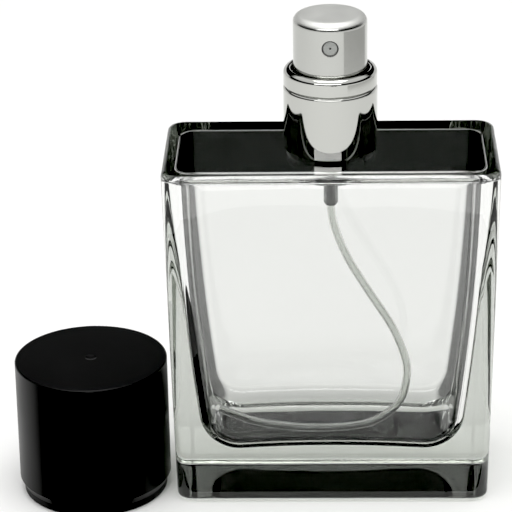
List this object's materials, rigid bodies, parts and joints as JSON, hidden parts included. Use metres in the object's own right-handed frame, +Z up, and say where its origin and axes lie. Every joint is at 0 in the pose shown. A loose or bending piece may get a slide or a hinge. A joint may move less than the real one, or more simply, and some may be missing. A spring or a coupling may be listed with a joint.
{
  "type": "pump spray bottle",
  "caption": "Clear rectangular glass spray bottle for aftershave or scent, with crimped pump, polished collar and push button, and a round black overcap standing beside it.",
  "frame": {"origin": "centre of the glass bottle's flat base, on the surface that it stands on", "axes": "+Z up along the pump's axis, the nozzle and the bottle's front face look along -Y, +X is to the right seen from the front"},
  "size_m": [0.0947, 0.0365, 0.0965],
  "materials": {
    "clear_glass": "clear flint glass, fire-polished outside",
    "gasket_rubber": "soft translucent grey gasket",
    "ferrule_aluminium": "plain drawn aluminium",
    "natural_plastic": "natural translucent polypropylene",
    "white_plastic": "white moulded plastic, satin",
    "steel": "bright stainless wire and ball",
    "tube_plastic": "translucent extruded polyethylene",
    "collar_metal": "polished silver-coloured metal",
    "button_metal": "polished silver-coloured metal, very slightly satin",
    "core_plastic": "grey moulded plastic",
    "nozzle_plastic": "grey moulded plastic",
    "cap_black": "black moulded plastic, satin gloss",
    "liner_black": "black moulded plastic"
  },
  "bodies": {
    "bottle": {"glass_bottle": "clear_glass", "neck_gasket": "gasket_rubber", "crimp_ferrule": "ferrule_aluminium", "pump_housing": "natural_plastic", "pump_turret": "white_plastic", "stem_gasket": "gasket_rubber", "return_spring": "steel", "dip_tube": "tube_plastic", "collar_shell": "collar_metal", "collar_liner": "white_plastic"},
    "plunger": {"stem": "white_plastic", "piston": "natural_plastic"},
    "button": {"button_shell": "button_metal", "button_core": "core_plastic", "nozzle_insert": "nozzle_plastic"},
    "poppet_valve": {"poppet": "white_plastic"},
    "ball_valve": {"inlet_ball": "steel"},
    "cap": {"cap_shell": "cap_black", "cap_liner": "liner_black"}
  },
  "joints": [
    {"name": "press", "type": "slide", "parent": "bottle", "child": "plunger", "axis": [0, 0, 1], "range_m": [-0.004, 0], "stiffness_N_per_m": 1200, "springref_m": 0.004, "deforming": ["return_spring"]},
    {"name": "button_turn", "type": "hinge", "parent": "plunger", "child": "button", "pos_m": [0, 0, 0.0965], "axis": [0, 0, 1], "continuous": true},
    {"name": "poppet_open", "type": "slide", "parent": "plunger", "child": "poppet_valve", "axis": [0, 0, 1], "range_m": [-0.0004, 0], "stiffness_N_per_m": 500, "springref_m": 0.001},
    {"name": "inlet_ball_lift", "type": "slide", "parent": "bottle", "child": "ball_valve", "axis": [0, 0, 1], "range_m": [0, 0.0005]},
    {"name": "cap_lift", "type": "slide", "parent": "bottle", "child": "cap", "axis": [0, 0, 1], "range_m": [0, 0.1]}
  ]
}
